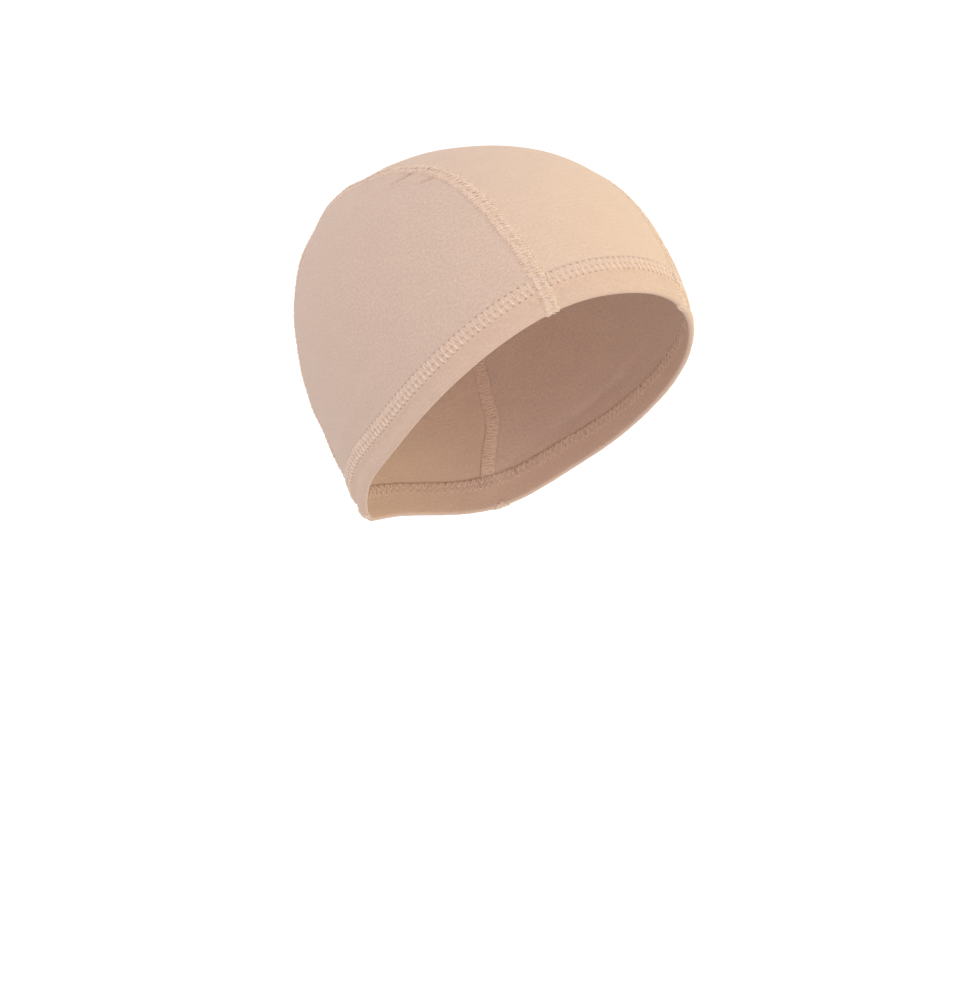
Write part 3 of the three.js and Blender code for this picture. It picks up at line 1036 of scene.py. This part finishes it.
def seam_strands(shell, side, ends, one, two, radius, rise, jitter, rung=RUNG):
    """Short strands along a seam, one in each rung, from one place to another."""
    low, high = ends
    count = int((high - low) / rung)
    middle = low + (np.arange(count) + 0.5) * (high - low) / count
    u = np.linspace(0, 1, SEAM_SAMPLES)
    a = np.array(one) + rng.normal(0, jitter, (count, 2))
    b = np.array(two) + rng.normal(0, jitter, (count, 2))
    run = middle[:, None] + a[:, :1] + (b - a)[:, :1] * u
    across = a[:, 1:] + (b - a)[:, 1:] * u
    base, normal = band_base(side, over_at(run), across)
    arch = np.sin(math.pi * u) ** 0.5
    lift = np.maximum(np.interp(across, *SEAM_FACE.T), 0.05)
    lift = lift + rise * arch - 0.1 * (1 - arch)
    size = radius * rng.uniform(0.85, 1.15, (count, 1)) * np.ones((1, SEAM_SAMPLES))
    tubes(shell, base + normal * lift[..., None], normal, size,
          tone=rng.uniform(0.3, 0.7, count))


# from and to, run and across in a rung, then radius, rise, jitter and rung
SEAM_STRANDS = [
    # slanting strands over the centre half, thinner and rougher ones over the side half
    ((-0.40, -3.15), (0.45, 0.60), 0.21, 0.10, 0.12),
    ((0.40, -0.40), (-0.35, 3.15), 0.17, 0.08, 0.20),
    ((-0.20, 0.60), (0.45, 2.70), 0.15, 0.05, 0.22),
    # short loops at both edges
    ((0.30, 3.05), (0.75, 3.70), 0.20, 0.05, 0.14),
    ((0.10, -3.25), (0.95, -3.25), 0.15, 0.05, 0.06),
    # rougher tufts, further apart
    ((-0.5, -1.9), (0.5, 1.2), 0.23, 0.38, 0.25, TUFT_RUNG),
]


def seam_thread_piece(name, side):
    shell = Shell()
    ends = seam_ends(THREAD_END)
    for strand in SEAM_STRANDS:
        seam_strands(shell, side, ends, *strand)
    # rungs on the inner face
    low, high = seam_ends(INNER_THREAD_END)
    count = int((high - low) / RUNG)
    u = np.linspace(0, 1, INNER_SAMPLES)
    k = np.linspace(low, high, count)
    slant = np.where(np.arange(count) % 2 == 0, 0.9, -0.9)
    run = k[:, None] + slant[:, None] * (u[None] - 0.5) + rng.normal(0, 0.08, (count, 1))
    qq = np.broadcast_to(-2.9 + 5.8 * u[None], run.shape)
    d = seam_direction(side, over_at(run), qq)
    lift = -1.2 - 0.22 * np.sin(math.pi * u)[None] ** 0.4
    normal = -form_normal(d)
    tubes(shell, layer_point(d, np.broadcast_to(lift, run.shape)), normal,
          INNER_SEAM_RADIUS, tone=rng.uniform(0.3, 0.7, count))
    return shell.piece(name, thread, "seam_thread", "thread_mm")


seam_thread_right = seam_thread_piece("seam_thread_right", -1)
seam_thread_left = seam_thread_piece("seam_thread_left", 1)


def inner_hem_thread():
    """Looper thread that covers the raw edge inside the hem."""
    shell = Shell()
    k = np.arange(STITCHES)
    u = np.linspace(0, 1, INNER_SAMPLES)
    for start, end, one, two in ((0.0, 1.5, -0.3, 3.1), (2.9, 1.4, -0.3, 3.1),
                                 (0.6, 2.0, 3.1, 5.9), (3.5, 2.0, 3.1, 5.9)):
        jitter = rng.normal(0, 0.1, (STITCHES, 2))
        a = k[:, None] * PITCH + start + jitter[:, :1]
        b = k[:, None] * PITCH + end + jitter[:, 1:]
        run = a + (b - a) * u[None]
        turn = turn_at(run)
        height = edge_column(HEM_HEIGHT, turn)
        d = hem_direction(turn, height - one - (two - one) * u[None])
        lift = INNER_OUT + 0.05 - 0.22 * np.sin(math.pi * u)[None] ** 0.5
        rise = 0.45 * smoothstep(4.4, 3.2, seam_distance(form_point(d))[0])
        tubes(shell, layer_point(d, lift - rise), -form_normal(d), INNER_HEM_RADIUS,
              tone=rng.uniform(0.3, 0.7, STITCHES))
    return shell.piece("hem_thread_inner", thread, "seam_thread", "thread_mm")


hem_thread_inside = inner_hem_thread()

# ---------------- stage
FLOOR_Z = -0.60
FLOOR_GLOW = 0.3
# brightness of the world round the part, straight down and straight up
WORLD_BELOW, WORLD_ABOVE = 0.93 * 0.87, 0.93 * 1.09
LAMP_SIZE = (1.4, 1.4)
LAMP_TARGET = Vector((0, 0, -0.06))
PHOTO_WIDTH = 976
SENSOR_WIDTH = 36


def plain(name, colour, glow):
    n = Nodes(name)
    vector = n.new("ShaderNodeTexCoord").outputs["Object"]
    shade = n.tint(linear(colour), n.noise(vector, 3.0), 0.99, 1.01)
    n.link(shade, n.shader.inputs["Base Color"])
    n.surface({"Roughness": 0.95, "Specular IOR Level": 0.1,
               "Emission Color": (1.0, 1.0, 1.0, 1.0), "Emission Strength": glow})
    return n.material


def floor_piece():
    """Round pale floor that curves up to a wall all round."""
    profile = [(0.02, 0.0), (1.0, 0.0), (2.6, 0.0)]
    for k in range(1, 13):
        a = k / 12 * math.pi / 2
        profile.append((2.6 + 1.2 * math.sin(a), 1.2 * (1 - math.cos(a))))
    profile += [(3.8, 2.4), (3.8, 3.6)]
    sides = 96
    angle = np.arange(sides) / sides * 2 * math.pi
    points = np.array([[(r * math.cos(t), r * math.sin(t), z + FLOOR_Z) for r, z in profile]
                       for t in angle]) * 1000
    quads = grid_quads(sides, len(profile), wrap_rows=True)
    floor = make_object("floor", points.reshape(-1, 3), quads,
                        plain("pale_floor", (250, 250, 250), FLOOR_GLOW))
    # the studio's light comes from the world and the lamps, not from the floor's own brightness
    floor.visible_diffuse = False
    return floor


floor = floor_piece()

scene = bpy.context.scene
scene.view_settings.view_transform = "Standard"
scene.view_settings.look = "None"
world = bpy.data.worlds.new("studio")
world.use_nodes = True
background = world.node_tree.nodes["Background"]
background.inputs["Color"].default_value = (1.0, 0.985, 0.99, 1.0)
# the studio is a little brighter above than below
sky = world.node_tree.nodes.new("ShaderNodeTexCoord")
level = world.node_tree.nodes.new("ShaderNodeSeparateXYZ")
rising = world.node_tree.nodes.new("ShaderNodeMapRange")
for key, value in (
        ("From Min", -1.0), ("From Max", 1.0), ("To Min", WORLD_BELOW), ("To Max", WORLD_ABOVE)):
    rising.inputs[key].default_value = value
world.node_tree.links.new(sky.outputs["Generated"], level.inputs[0])
world.node_tree.links.new(level.outputs[2], rising.inputs["Value"])
world.node_tree.links.new(rising.outputs["Result"], background.inputs["Strength"])
scene.world = world

# Camera, found from the outline, hem and seam in the photo
AZIMUTH, ELEVATION, ROLL = -40.45 * DEGREE, 5.33 * DEGREE, 0.50 * DEGREE
SHIFT_X, SHIFT_Y, DISTANCE, FOCAL_PIXELS = 1.556, 56.907, 1800.0, 4114.4
towards = np.array([math.sin(AZIMUTH) * math.cos(ELEVATION),
                    -math.cos(AZIMUTH) * math.cos(ELEVATION), math.sin(ELEVATION)])
flat_right = np.array([math.cos(AZIMUTH), math.sin(AZIMUTH), 0.0])
flat_up = np.cross(towards, flat_right)
right = math.cos(ROLL) * flat_right + math.sin(ROLL) * flat_up
upward = -math.sin(ROLL) * flat_right + math.cos(ROLL) * flat_up
place = (-SHIFT_X * right - SHIFT_Y * upward + DISTANCE * towards - LOWER) * 0.001
camera_data = bpy.data.cameras.new("camera")
camera_data.sensor_fit = "HORIZONTAL"
camera_data.sensor_width = SENSOR_WIDTH
camera_data.lens = FOCAL_PIXELS / PHOTO_WIDTH * SENSOR_WIDTH
camera_data.clip_start = 0.05
camera_data.clip_end = 50
camera = bpy.data.objects.new("camera", camera_data)
matrix = Matrix.Identity(4)
for row in range(3):
    for column, axis in enumerate((right, upward, towards)):
        matrix[row][column] = axis[row]
    matrix[row][3] = place[row]
camera.matrix_world = matrix
scene.collection.objects.link(camera)
scene.camera = camera


def from_camera(sideways, high, ahead):
    """A place given from the camera's side of the cap, in metres."""
    level = np.array([math.sin(AZIMUTH), -math.cos(AZIMUTH), 0.0])
    spot = sideways * flat_right + ahead * level + np.array([0, 0, high])
    return tuple(float(x) for x in spot)


for name, spot, power, colour in (
        ("key", (1.95, 0.26, 0.97), 8.4, (1.0, 0.97, 0.43)),
        ("rim", (2.02, 0.37, -0.75), 6.4, (1.0, 0.76, 0.06)),
        ("front", (0.22, 0.16, 2.18), 4.0, (1.0, 0.65, 0.72))):
    lamp = bpy.data.lights.new(name, "AREA")
    lamp.shape = "RECTANGLE"
    lamp.size, lamp.size_y = LAMP_SIZE
    lamp.energy = power
    lamp.color = colour
    light = bpy.data.objects.new(name, lamp)
    light.location = from_camera(*spot)
    aim = LAMP_TARGET - Vector(light.location)
    light.rotation_euler = aim.to_track_quat("-Z", "Y").to_euler()
    scene.collection.objects.link(light)
